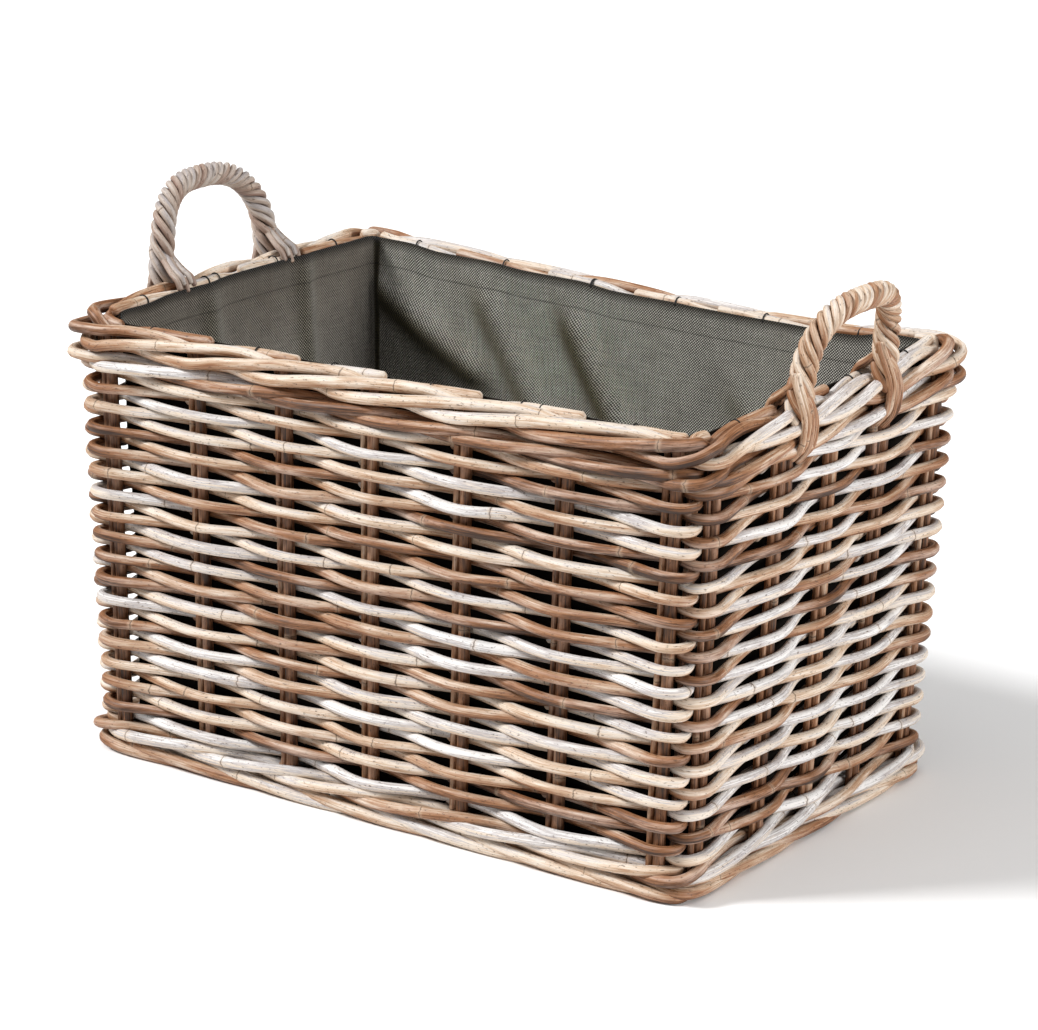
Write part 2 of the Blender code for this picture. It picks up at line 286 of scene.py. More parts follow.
def rattan(name, wash, weathered=0.0):
    """A rattan finish; wash is how much of the pale whitewash is left, weathered how grey it is."""
    finish, tree, shader = new_finish(name, shine=0.4)
    grain = add_node(tree, "ShaderNodeAttribute", attribute_name="grain").outputs["Vector"]
    tint = add_node(tree, "ShaderNodeAttribute", attribute_name="tint").outputs["Fac"]
    along = add_node(tree, "ShaderNodeSeparateXYZ", {0: grain}).outputs["Z"]

    patches = speckle(tree, stretched(tree, grain, PATCH_FINENESS), 1.0, 4.0, 0.65)
    lines = speckle(tree, stretched(tree, grain, LINE_FINENESS), 1.0, 4.0, 0.65)
    flecks = speckle(tree, stretched(tree, grain, FLECK_FINENESS), 1.0, 2.0, 0.6)

    facing = add_node(tree, "ShaderNodeNewGeometry").outputs["Normal"]
    facing_up = add_node(tree, "ShaderNodeSeparateXYZ", {0: facing}).outputs["Z"]
    # painted light: the side of a rod that faces up is painted paler, as if lit from above
    tone = plus(tree, tint, times(tree, facing_up, TOP_PAINTED_LIGHT))
    tone = varied(tree, tone, patches, PATCH_CONTRAST)
    tone = varied(tree, tone, lines, LINE_CONTRAST)
    skin = mixed(tree, weathered, ramp(tree, tone, TONES), GREY)
    washed = times(tree, mask(tree, patches, 0.48, 5.0 * wash), lines)
    skin = mixed(tree, washed, skin, WASH)
    fleck_mask = mask(tree, flecks, 0.60, 9.0)
    fleck_mask = times(tree, fleck_mask, minus(tree, 1.25, patches))
    skin = mixed(tree, fleck_mask, skin, FLECK)

    wobble = times(tree, speckle(tree, grain, 300.0), 0.004)
    from_ring = sums(tree, "DIVIDE", plus(tree, along, wobble), RING_SPACING)
    from_ring = minus(tree, sums(tree, "FRACT", from_ring), 0.5)
    from_ring = sums(tree, "ABSOLUTE", from_ring)
    from_ring = times(tree, from_ring, RING_SPACING * 1000.0)
    ring_line = near_line(tree, from_ring, 1.1)
    ring_band = near_line(tree, from_ring, 0.28)
    skin = mixed(tree, times(tree, ring_band, 0.4), skin, BESIDE_RING)
    skin = mixed(tree, times(tree, ring_line, 0.85), skin, RING)

    height = times(tree, lines, 0.6)
    height = plus(tree, height, times(tree, patches, 0.4))
    height = minus(tree, height, times(tree, ring_line, 0.7))
    bump = add_node(tree, "ShaderNodeBump",
                    {"Height": height, "Strength": 0.45, "Distance": 0.0006})
    roughness = plus(tree, times(tree, lines, 0.25), LEAST_ROUGHNESS)
    tree.links.new(skin, shader.inputs["Base Color"])
    tree.links.new(roughness, shader.inputs["Roughness"])
    tree.links.new(bump.outputs["Normal"], shader.inputs["Normal"])
    return finish


stake_finish = rattan("stake_rattan", 0.2)
weave_finish = rattan("weave_rattan", 0.6)
wale_finish = rattan("wale_rattan", 0.6)
border_finish = rattan("border_rattan", 0.7)
foot_finish = rattan("foot_rattan", 0.4)
base_finish = rattan("base_rattan", 0.4)
handle_finish = rattan("handle_rattan", 0.3)
grey_handle_finish = rattan("handle_rattan_grey", 0.3, weathered=0.5)
print("rattan finishes:", len(TONES), "tones, a ring every", RING_SPACING, "m")

# %% [markdown]
# ## One rod
# A rod starts straight: a closed cylinder whose long edges are cut into as many rings as its path
# has points. Then each ring moves to its point and turns from the last ring's direction to its
# own, so the rod bends without twisting. It swells a little where its leaf rings are.

# %% Rod
random.seed(7)
ROD_SIDES = 10
RING_SWELL = 0.06
RING_LENGTH = 0.006
END_ROUNDING = ((0.0, 0.45), (0.18, 0.78))  # radii from the tip, and how thick it is there
CORNER_X = 0.33
CORNER_Y = 0.21
CORNER_REACH = 0.045
CORNER_BROWNING = 0.30
BROWNEST = 0.16
straight_rods = {}
spare_mesh = bpy.data.meshes.new("one rod")


def new_rods():
    """An empty bmesh with the two attributes that the rattan finish reads."""
    bm = bmesh.new()
    bm.verts.layers.float_vector.new("grain")
    bm.verts.layers.float.new("tint")
    return bm


def with_rounded_ends(path, radii):
    """The path and radii with a few small rings at each end, which round it off."""
    start = (path[0] - path[1]).normalized()
    stop = (path[-1] - path[-2]).normalized()
    first = [(path[0] + start * radii[0] * (0.5 - step), radii[0] * size)
             for step, size in END_ROUNDING]
    last = [(path[-1] + stop * radii[-1] * (0.5 - step), radii[-1] * size)
            for step, size in reversed(END_ROUNDING)]
    points = [p for p, r in first] + list(path) + [p for p, r in last]
    sizes = [r for p, r in first] + list(radii) + [r for p, r in last]
    return points, sizes


def straight_rod(rings, sides):
    """A straight rod with a ring of points at each whole number of Z; made once for each size."""
    if (rings, sides) not in straight_rods:
        bm = new_rods()
        bmesh.ops.create_cone(bm, cap_ends=True, segments=sides, radius1=1.0, radius2=1.0,
                              depth=rings - 1, matrix=Matrix.Translation((0, 0, (rings - 1) / 2)))
        long_edges = [e for e in bm.edges if abs(e.verts[0].co.z - e.verts[1].co.z) > 0.5]
        bmesh.ops.subdivide_edges(bm, edges=long_edges, cuts=rings - 2)
        straight_rods[rings, sides] = bm
    return straight_rods[rings, sides].copy()


def browned(point, tint):
    """A rod's tone at a point: darker and browner near the corners of the basket."""
    off_x = (CORNER_X - abs(point.x)) / CORNER_REACH
    off_y = (CORNER_Y - abs(point.y)) / CORNER_REACH
    near_corner = math.exp(-off_x ** 2 - off_y ** 2)
    return max(min(tint, BROWNEST), tint - CORNER_BROWNING * near_corner)


def rod(bm, path, radius, tint, sides=ROD_SIDES):
    """Adds one closed rod that follows path; radius is a number or one for each point."""
    radii = list(radius) if hasattr(radius, "__len__") else [radius] * len(path)
    points, sizes = with_rounded_ends(path, radii)
    offset = Vector((random.random() * 9.0, random.random() * 9.0, random.random() * 90.0))
    last = len(points) - 1
    heading = (points[1] - points[0]).normalized()
    first_turn = heading.to_track_quat("Z", "Y")
    right, up = first_turn @ Vector((1, 0, 0)), first_turn @ Vector((0, 1, 0))
    along = 0.0
    rings = []
    for i, point in enumerate(points):
        ahead = (points[min(i + 1, last)] - points[max(i - 1, 0)]).normalized()
        bend = heading.rotation_difference(ahead)
        right, up, heading = bend @ right, bend @ up, ahead
        along += (point - points[i - 1]).length if i else 0.0
        away = (((along + offset.z) / RING_SPACING) % 1.0 - 0.5) * RING_SPACING
        size = sizes[i] * (1.0 + RING_SWELL * math.exp(-((away / RING_LENGTH) ** 2)))
        rings.append((point, right * size, up * size, offset.z + along, browned(point, tint)))
    typical = max(sizes)
    one = straight_rod(len(points), sides)
    grain = one.verts.layers.float_vector["grain"]
    tone = one.verts.layers.float["tint"]
    for vert in one.verts:
        point, right, up, along, tone_here = rings[round(vert.co.z)]
        x, y = vert.co.x, vert.co.y
        vert.co = point + right * x + up * y
        vert[grain] = (offset.x + x * typical, offset.y + y * typical, along)
        vert[tone] = tone_here
    one.to_mesh(spare_mesh)
    one.free()
    bm.from_mesh(spare_mesh)


def piece(name, bm, finish, replaces=()):
    """Turns a bmesh into a smooth piece of the basket that rides on its body."""
    bm.normal_update()
    bmesh.ops.recalc_face_normals(bm, faces=bm.faces)
    mesh = bpy.data.meshes.new(name)
    bm.to_mesh(mesh)
    bm.free()
    mesh.shade_smooth()
    mesh.materials.append(finish)
    made = bpy.data.objects.new(name, mesh)
    bpy.context.scene.collection.objects.link(made)
    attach(made, "root")
    if replaces:
        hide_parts(*replaces)
    return made


print("rod helper ready,", ROD_SIDES, "sides")

# %% [markdown]
# ## Places on the wall
# Everything woven goes round the stakes, so a place on the basket is given by three numbers: how
# many stakes along the round it is, how far outside the line of the stakes, and how high. The
# stakes are read from the frame. The stakes beside a corner are turned towards it, so that rods
# bend round the corner instead of through it.

# %% Places on the wall
SIDES = ("front", "right", "back", "left")
OUTWARD = {"front": Vector((0, -1, 0)), "right": Vector((1, 0, 0)),
           "back": Vector((0, 1, 0)), "left": Vector((-1, 0, 0))}
CORNER_TURN = math.radians(7)
CORNER_FULLNESS = 2.0
CORNER_BULGE = {7: 0.002, 12: 0.004, 19: 0.003, 24: 0.008}  # by the stake just after each corner
BULGE_REACH = 0.75  # in stakes
BULGE_HEIGHT = 0.4
BULGE_OUT = 0.008
RIM_LIFT = (  # the woven rim is not quite level: metres up, stake by stake
    -0.001, 0.0, 0.0, 0.0, 0.0, 0.0, 0.0,
    0.0, 0.0, 0.0, 0.0, 0.007,
    0.006, -0.002, -0.002, -0.001, 0.003, 0.006, 0.010,
    0.013, 0.013, 0.013, 0.011, 0.009,
)
LIFT_FROM = 0.20
LIFT_OVER = 0.18
UP = Vector((0, 0, 1))


def stake_names(side):
    """The stakes of one side in the order of the round, anticlockwise from above."""
    count = 7 if side in ("front", "back") else 5
    numbers = range(1, count + 1) if side in ("front", "right") else range(count, 0, -1)
    return [f"{side}_stake_{number}" for number in numbers]


def read_stake(name, outward):
    """A stake's foot and head, and the way out of the basket beside it."""
    points = [vert.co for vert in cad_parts[name].data.vertices]
    middle = (min(p.z for p in points) + max(p.z for p in points)) / 2
    feet = [p for p in points if p.z < middle]
    heads = [p for p in points if p.z > middle]
    return {"name": name, "outward": outward, "foot": sum(feet, Vector()) / len(feet),
            "head": sum(heads, Vector()) / len(heads)}


stakes = []
for side in SIDES:
    names = stake_names(side)
    for name in names:
        turned = CORNER_TURN * ((name == names[-1]) - (name == names[0]))
        stakes.append(read_stake(name, Matrix.Rotation(turned, 3, "Z") @ OUTWARD[side]))
ROUND = len(stakes)
spans = [(stakes[(i + 1) % ROUND]["head"] - stakes[i]["head"]).length for i in range(ROUND)]


def stake_at(number, height):
    """The middle of a stake at a height."""
    stake = stakes[number % ROUND]
    rise = (height - stake["foot"].z) / (stake["head"].z - stake["foot"].z)
    return stake["foot"].lerp(stake["head"], rise)


def lifted(height):
    """How much of the rim's lift a height gets: none low down, all of it at the rim."""
    return min(max((height - LIFT_FROM) / LIFT_OVER, 0.0), 1.0) ** 2


def on_wall(place, out, height):
    """The point that is place stakes round, out from the line of stakes, at height."""
    number = math.floor(place)
    share = place - number
    lift = RIM_LIFT[number % ROUND] * (1.0 - share) + RIM_LIFT[(number + 1) % ROUND] * share
    height += lift * lifted(height)
    here, there = stakes[number % ROUND], stakes[(number + 1) % ROUND]
    start, stop = stake_at(number, height), stake_at(number + 1, height)
    span = spans[number % ROUND]
    before, after = spans[(number - 1) % ROUND], spans[(number + 1) % ROUND]
    at_corner = span < before / 2
    pull = (CORNER_FULLNESS * span,) * 2 if at_corner else (min(span, before), min(span, after))
    leave = UP.cross(here["outward"]) * pull[0]
    arrive = UP.cross(there["outward"]) * pull[1]
    square, cube = share * share, share ** 3
    middle = (start * (2 * cube - 3 * square + 1) + leave * (cube - 2 * square + share)
              + stop * (3 * square - 2 * cube) + arrive * (cube - square))
    outward = here["outward"].lerp(there["outward"], share).normalized()
    bulge = sum(size * math.exp(-((place - corner + 0.5 + turn) / BULGE_REACH) ** 2)
                for corner, size in CORNER_BULGE.items() for turn in (-ROUND, 0, ROUND))
    if out > 0:
        out += bulge * height / BULGE_HEIGHT * min(1.0, out / BULGE_OUT)
    return middle + outward * out


def lift_near(point):
    """The rim's lift beside any point, from the nearest stakes."""
    weights = [1.0 / ((stake["head"] - point).xy.length_squared + 1e-6) ** 2 for stake in stakes]
    return sum(weight * lift for weight, lift in zip(weights, RIM_LIFT)) / sum(weights)


rim_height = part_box("front_rim_border")[1].z
print(ROUND, "stakes round the basket, rim at", round(rim_height, 3), "m")

# %% [markdown]
# ## Stakes
# Each upright is a pair of rods side by side: a thick one and a thin one. Only short lengths show
# between the weavers, mostly as brown stripes with a pale edge. They are drawn slightly bent, as a
# stake is where the weavers push it in and out. A stout post stands inside each corner, where the
# rods that go round it lean on it.

# %% Stakes
THICK_STAKE = 0.0052
THIN_STAKE = 0.0030
THICK_PLACE = 0.0034
THIN_PLACE = -0.0058
SWAY_ALONG = 0.0007
SWAY_OUT = 0.0006
STAKE_STEPS = 36


def bent_stake(stake, sideways, radius, tint):
    """One of the two rods of a stake, from the foot border to the rim."""
    along = UP.cross(stake["outward"])
    path = []
    for step in range(STAKE_STEPS + 1):
        share = step / STAKE_STEPS
        middle = stake["foot"].lerp(stake["head"], share)
        sway = noise.noise(Vector((share * 5.0, sideways * 900.0, stake["foot"].x * 37.0)))
        aside = along * (sideways + SWAY_ALONG * sway)
        path.append(middle + aside + stake["outward"] * SWAY_OUT * sway)
    rod(bm, path, radius, tint)


for stake in stakes:
    bm = new_rods()
    radius = THICK_STAKE * random.uniform(0.93, 1.05)
    bent_stake(stake, THICK_PLACE, radius, random.uniform(0.12, 0.36))
    radius = THIN_STAKE * random.uniform(0.9, 1.1)
    bent_stake(stake, THIN_PLACE, radius, random.uniform(0.12, 0.5))
    piece(stake["name"] + "_rods", bm, stake_finish, [stake["name"]])

print("stakes:", ROUND, "pairs of rods")

# %% Corner posts
POST_OUT = -0.0105
POST_FOOT = 0.016
POST_LENGTH = 0.36
POST_RADIUS = 0.0048
POST_TINT = 0.15

bm = new_rods()
for number in sorted(CORNER_BULGE):
    path = [on_wall(number - 0.5, POST_OUT, POST_FOOT + POST_LENGTH * step / STAKE_STEPS)
            for step in range(STAKE_STEPS + 1)]
    rod(bm, path, POST_RADIUS, POST_TINT)
piece("corner_posts", bm, stake_finish)
print("corner posts:", len(CORNER_BULGE))

# %% [markdown]
# ## The weave
# Each round of weaving goes outside one stake and inside the next, and the round above does the
# opposite. The path is a smooth wave: out at a stake, through the line of stakes halfway to the
# next. A round is not one endless rod: several rods take it in turn, and each starts and ends
# behind a stake, where the end is hidden.

# %% Weave
WEAVE_ROUNDS = 33
WEAVE_LOW = 0.03725
WEAVE_PITCH = 0.0099
WEAVE_OUT = 0.0090
WEAVE_RADIUS = 0.0047
STEPS_PER_SPAN = 12
ROD_LAP = 0.16
ROD_ORDERS = ((4, 6, 4, 6, 4), (6, 4, 6, 4, 4), (4, 4, 6, 4, 6), (6, 6, 4, 4, 4))  # in stakes
END_DROOP = 0.003
END_TUCK = 0.001
DRIFT = 0.0007
UNEVEN = 0.0009
TONE_CHANCES = (0.16, 0.26, 0.3, 0.36, 0.42, 0.48, 0.86, 0.58, 0.64, 0.9, 0.76, 0.82, 0.88, 0.94)


def wave(place, level):
    """1 where the round is outside a stake, -1 where it is inside, and between them a curve."""
    return -math.cos(math.pi * (place + level))


def weaver_path(start, stop, level, height, lift):
    """One rod of a round, from stake to stake, with its ends laid behind its neighbours."""
    steps = round((stop - start + 2 * ROD_LAP) * STEPS_PER_SPAN)
    path = []
    for step in range(steps + 1):
        place = start - ROD_LAP + (stop - start + 2 * ROD_LAP) * step / steps
        nearest = round(place)
        hold = max(0.0, 1.0 - 2.0 * abs(place - nearest))
        hold = hold * hold * (3.0 - 2.0 * hold)
        jitter = lift[nearest % ROUND] * hold
        end = max(0.0, 1.0 - min(step, steps - step) / (ROD_LAP * STEPS_PER_SPAN))
        droop = -END_DROOP * end if step < steps / 2 else END_DROOP * end
        drift = DRIFT * noise.noise(Vector((place * 0.7, level * 3.1, 0.0)))
        out = WEAVE_OUT * wave(place, level) - END_TUCK * end
        path.append(on_wall(place, out, height + jitter + droop + drift))
    return path


for level in range(WEAVE_ROUNDS):
    bm = new_rods()
    height = WEAVE_LOW + WEAVE_PITCH * (WEAVE_ROUNDS - 1 - level)
    lift = [random.gauss(0.0, UNEVEN) for stake in stakes]
    lengths = random.choice(ROD_ORDERS)
    start = 2 * random.randrange(ROUND // 2) + level % 2
    for length in lengths:
        radius = WEAVE_RADIUS * random.uniform(0.9, 1.08)
        path = weaver_path(start, start + length, level, height, lift)
        sizes = [radius * (1.0 + 0.05 * noise.noise(Vector((p.x * 14.0, p.y * 14.0, level * 7.7))))
                 for p in path]
        rod(bm, path, sizes, random.choice(TONE_CHANCES) + random.uniform(-0.03, 0.03))
        start += length
    nodes = [f"{side}_weave" for side in SIDES] if level == 0 else []
    piece(f"weave_round_{level + 1:02d}", bm, weave_finish, nodes)
print("weave:", WEAVE_ROUNDS, "rounds,", WEAVE_PITCH * 1000, "mm apart")

# %% [markdown]
# ## Wales
# Above and below the weave is a wale: three rods worked together, each in front of two stakes and
# behind one. It is what holds the stakes in line, and it looks like a flat rope.

# %% Wales
WALE_RADIUS = 0.0050
WALE_OUT = 0.0088
WALE_RISE = 0.0042
WALE_MIDDLE = 0.25
WALE_SWING = 1.15
WALE_STRANDS = 3
WALE_LENGTH = 6  # stakes that one rod passes


def wale(course):
    """Three rods that take turns to pass behind a stake, at the height of a CAD course."""
    low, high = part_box(f"front_{course}")
    height = (low.z + high.z) / 2
    bm = new_rods()
    steps = round((WALE_LENGTH + 2 * ROD_LAP) * STEPS_PER_SPAN)
    for strand in range(WALE_STRANDS):
        for start in range(strand, strand + ROUND, WALE_LENGTH):
            path = []
            for step in range(steps + 1):
                place = start - ROD_LAP + (WALE_LENGTH + 2 * ROD_LAP) * step / steps
                phase = 2.0 * math.pi * (place - strand) / WALE_STRANDS
                out = WALE_OUT * (WALE_MIDDLE - WALE_SWING * math.cos(phase))
                path.append(on_wall(place, out, height - WALE_RISE * math.sin(phase)))
            rod(bm, path, WALE_RADIUS * random.uniform(0.93, 1.05), random.choice(TONE_CHANCES))
    nodes = [f"{side}_{course}" for side in SIDES]
    piece(f"{course}_rods", bm, wale_finish, nodes)


wale("top_wale")
wale("bottom_wale")
print("wales: two,", WALE_STRANDS, "rods deep")

# %% [markdown]
# ## The rim border
# At the top every stake is turned down to the right and plaited into a border. Each rod rises
# inside the wall, comes out beside the next stake and lies along the outside, climbs over the top
# to the inner edge, dips under the end of the rod before it, and runs along the inner edge beside
# the liner for one last stake, where it is cut. Four rods lie side by side everywhere.

# %% Rim border
BORDER_ROUTE = (  # stakes along, out from the stakes, height under the rim
    (-0.06, -0.0010, -0.0420), (0.00, -0.0010, -0.0260), (0.35, -0.0005, -0.0180),
    (0.70, 0.0055, -0.0200), (1.00, 0.0102, -0.0185), (1.35, 0.0098, -0.0140),
    (1.70, 0.0080, -0.0090), (2.00, 0.0055, -0.0062), (2.50, -0.0020, -0.0040),
    (2.80, -0.0050, -0.0075), (3.00, -0.0060, -0.0115), (3.20, -0.0095, -0.0100),
    (3.50, -0.0125, -0.0062), (3.80, -0.0130, -0.0048), (4.06, -0.0128, -0.0042),
)
BORDER_RADIUS = 0.0053
BORDER_STEPS = 72
BORDER_SLIP = 0.06
BORDER_UNEVEN = 0.0004


def through(points, share):
    """A smooth curve through evenly numbered points, at share of its length."""
    count = len(points) - 1
    spot = min(max(share, 0.0), 0.99999) * count
    i = int(spot)
    t = spot - i
    a, b, c, d = (points[min(max(j, 0), count)] for j in (i - 1, i, i + 1, i + 2))
    return tuple(0.5 * (2 * q + (r - p) * t + (2 * p - 5 * q + 4 * r - s) * t * t
                        + (3 * q - p - 3 * r + s) * t ** 3) for p, q, r, s in zip(a, b, c, d))


def routed(number, route, steps, from_height=0.0):
    """The path of a rod that starts at a stake and follows a route along the wall."""
    path = []
    for step in range(steps + 1):
        place, out, height = through(route, step / steps)
        path.append(on_wall(number + place, out, from_height + height))
    return path


bm = new_rods()
for number in range(ROUND):
    slip = random.uniform(-BORDER_SLIP, BORDER_SLIP)
    route = [(place + slip * (1.0 < place < 4.0), out + random.gauss(0.0, BORDER_UNEVEN),
              under + random.gauss(0.0, BORDER_UNEVEN)) for place, out, under in BORDER_ROUTE]
    path = routed(number, route, BORDER_STEPS, rim_height)
    rod(bm, path, BORDER_RADIUS * random.uniform(0.93, 1.06), random.uniform(0.2, 0.75), sides=12)
nodes = [f"{side}_rim_border" for side in SIDES]
piece("rim_border_rods", bm, border_finish, nodes)
print("rim border:", ROUND, "rods")

# %% [markdown]
# ## The foot border
# Under the bottom wale the stake ends are turned under the basket. Each rod leaves the wall, bends
# down and along, and goes back under the next one, which makes a row of long low scallops.

# %% Foot border
FOOT_ROUTE = (  # stakes along, out from the stakes, height
    (-0.5, -0.0060, 0.0130), (0.0, 0.0010, 0.0118), (0.5, 0.0075, 0.0098), (1.0, 0.0085, 0.0070),
    (1.5, 0.0060, 0.0054), (2.0, -0.0010, 0.0056), (2.4, -0.0070, 0.0080),
)
FOOT_RADIUS = 0.0050
FOOT_STEPS = 40

bm = new_rods()
for number in range(ROUND):
    path = routed(number, FOOT_ROUTE, FOOT_STEPS)
    rod(bm, path, FOOT_RADIUS * random.uniform(0.95, 1.05), random.uniform(0.2, 0.8))
nodes = [f"{side}_foot_border" for side in SIDES]
piece("foot_border_rods", bm, foot_finish, nodes)
print("foot border:", ROUND, "rods")

# %% [markdown]
# ## The base
# The base is a flat mat: five thick sticks lie along it, and thinner rods are woven across them.
# It shows only from underneath, but logs are heavy, so it is drawn as it would be made.

# %% Base
BASE_PITCH = 0.0098
CROSS_RADIUS = 0.0042
CROSS_SWING = 0.0036
CROSS_STEPS = 48
STICK_RADIUS = 0.0048
STICK_STEPS = 40
BELOW_MIDDLE = 0.0015  # keeps the mat clear of the liner
base_low, base_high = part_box("base_weave")
base_middle = (base_low.z + base_high.z) / 2 - BELOW_MIDDLE
stick_boxes = [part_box(f"base_stick_{number}") for number in range(1, 6)]
stick_lines = [(low.y + high.y) / 2 for low, high in stick_boxes]

for number, (low, high) in enumerate(stick_boxes, 1):
    bm = new_rods()
    path = [Vector((low.x + (high.x - low.x) * step / STICK_STEPS, stick_lines[number - 1],
                    base_middle)) for step in range(STICK_STEPS + 1)]
    rod(bm, path, STICK_RADIUS, random.uniform(0.15, 0.5))
    piece(f"base_stick_{number}_rod", bm, base_finish, [f"base_stick_{number}"])

bm = new_rods()
base_reach = base_high.x - base_low.x - 2 * CROSS_RADIUS
cross_count = int(base_reach / BASE_PITCH)
stick_gap = stick_lines[1] - stick_lines[0]
for number in range(cross_count + 1):
    x = base_low.x + CROSS_RADIUS + number * base_reach / cross_count
    path = []
    for step in range(CROSS_STEPS + 1):
        y = base_low.y + (base_high.y - base_low.y) * step / CROSS_STEPS
        swing = math.cos(math.pi * ((y - stick_lines[0]) / stick_gap + number))
        path.append(Vector((x, y, base_middle + CROSS_SWING * swing)))
    rod(bm, path, CROSS_RADIUS * random.uniform(0.9, 1.05), random.choice(TONE_CHANCES), sides=8)
piece("base_weave_rods", bm, base_finish, ["base_weave"])
print("base:", len(stick_boxes), "sticks and", cross_count + 1, "cross rods")

# %% [markdown]
# ## Handles
# A handle starts as a bow, a stout rod pushed down through the border beside two stakes. Thinner
# rods are wound round it side by side like a rope, long and steep on the legs and tighter over the
# top. At the foot of each leg they spread: some lie over the outside of the border and tuck in
# under the wale, the others end at the inner edge beside the liner.

# %% Handle shape
STRANDS = 5
STRAND_RADIUS = 0.0039
ROPE_OUT = 0.0086
TIGHTER = 0.20
BOW_RADIUS = 0.0050
LEG_INSET = 0.0010
LEG_LAY = 0.074  # metres that one turn of the rope takes on a leg
TOP_LAY = 0.040  # and over the top
HANDLE_STEPS = 170
HANDLE_FOOT = rim_height - 0.012
FINE_STEPS = 900


def arch(outward_x, shape, share):
    """The middle line of a handle, from the foot of its front leg (0) to its back leg (1)."""
    swing = math.pi * share
    half = (shape["back"] - shape["front"]) / 2
    width = math.copysign(abs(math.cos(swing)) ** shape["square"], 0.5 - share)
    y = (shape["back"] + shape["front"]) / 2 - half * width
    x = outward_x * (shape["out"] + shape["lean"] * math.sin(swing) ** 2)
    foot = HANDLE_FOOT + shape["lift"]
    return Vector((x, y, foot + (shape["top"] - foot) * math.sin(swing) ** shape["rise"]))


def even_points(curve, count):
    """The curve as count + 1 points, evenly spaced along its length."""
    fine = [curve((1.0 - math.cos(math.pi * i / FINE_STEPS)) / 2) for i in range(FINE_STEPS + 1)]
    lengths = [0.0]
    for a, b in zip(fine, fine[1:]):
        lengths.append(lengths[-1] + (b - a).length)
    points, j = [], 0
    for i in range(count + 1):
        wanted = lengths[-1] * i / count
        while j < FINE_STEPS - 1 and lengths[j + 1] < wanted:
            j += 1
        share = (wanted - lengths[j]) / max(lengths[j + 1] - lengths[j], 1e-9)
        points.append(fine[j].lerp(fine[j + 1], share))
    return points, lengths[-1]


# %% Spread ends
OUTER_TAIL = (  # along the wall, out, height from the rim
    (-0.0080, 0.0030, 0.0300), (-0.0070, 0.0080, 0.0200), (-0.0030, 0.0125, 0.0090),
    (0.0020, 0.0168, -0.0060), (0.0048, 0.0172, -0.0200), (0.0052, 0.0140, -0.0340),
    (0.0030, 0.0070, -0.0430),
)
INNER_TAIL = (
    (-0.0020, -0.0020, 0.0240), (0.0000, -0.0080, 0.0150), (0.0020, -0.0120, 0.0085),
    (0.0025, -0.0160, 0.0030), (0.0020, -0.0178, -0.0030),
)
TAILS = 5
TAIL_SPREAD = 0.0050
TAIL_STEPS = 26
TAIL_RADIUS = 0.0028
TAIL_UNEVEN = 0.004
TAIL_ROUNDING = 0.0008


def tails(bm, leg, outward, leg_out, tones):
    """The ends of the winding rods; leg is the middle line of the leg from its foot upwards."""
    along = UP.cross(outward)
    for route in (OUTER_TAIL, INNER_TAIL):
        for number in range(TAILS):
            aside = number - (TAILS - 1) / 2
            path = []
            for step in range(TAIL_STEPS + 1):
                share = step / TAIL_STEPS
                across, out, height = through(route, share)
                uneven = TAIL_UNEVEN * math.sin(number * 2.4) * share
                height += leg[0].z - HANDLE_FOOT + rim_height + uneven
                core = min(leg, key=lambda point: abs(point.z - height))
                settled = min(1.0, 1.5 * share)
                middle = core.lerp(leg[0] - outward * leg_out, settled)
                out -= math.copysign(TAIL_ROUNDING, out) * aside * aside * (1.0 - share)
                fan = across + TAIL_SPREAD * aside * (0.55 + 0.45 * settled)
                spot = middle + along * fan + outward * out
                path.append(Vector((spot.x, spot.y, height)))
            rod(bm, path, TAIL_RADIUS * random.uniform(0.85, 1.05), random.choice(tones))


print("spread ends at each foot:", 2 * TAILS)

# %% Handles
BOW_TINT = 0.12
BOW_STEP = 0.012
BOW_STEPS = 6  # steps of each leg below the foot of the rope
STEPS_IN_TAIL = 40  # how much of the rope a spread end may start from
HANDLE_SHAPES = {  # metres; square and rise set how full the arch is
    "right": {"front": -0.0694, "back": 0.0733, "out": 0.3240, "top": 0.4815, "lean": 0.016,
              "square": 0.58, "rise": 0.68, "lift": 0.0},
    "left": {"front": -0.0905, "back": 0.0630, "out": 0.3300, "top": 0.4915, "lean": 0.016,
             "square": 0.70, "rise": 0.74, "lift": 0.012},
}
RIGHT_TONES = (0.22, 0.30, 0.36, 0.42, 0.48, 0.56)
LEFT_TONES = (0.26, 0.34, 0.42, 0.50, 0.60, 0.72)
handle_line = stake_at(8, rim_height).x


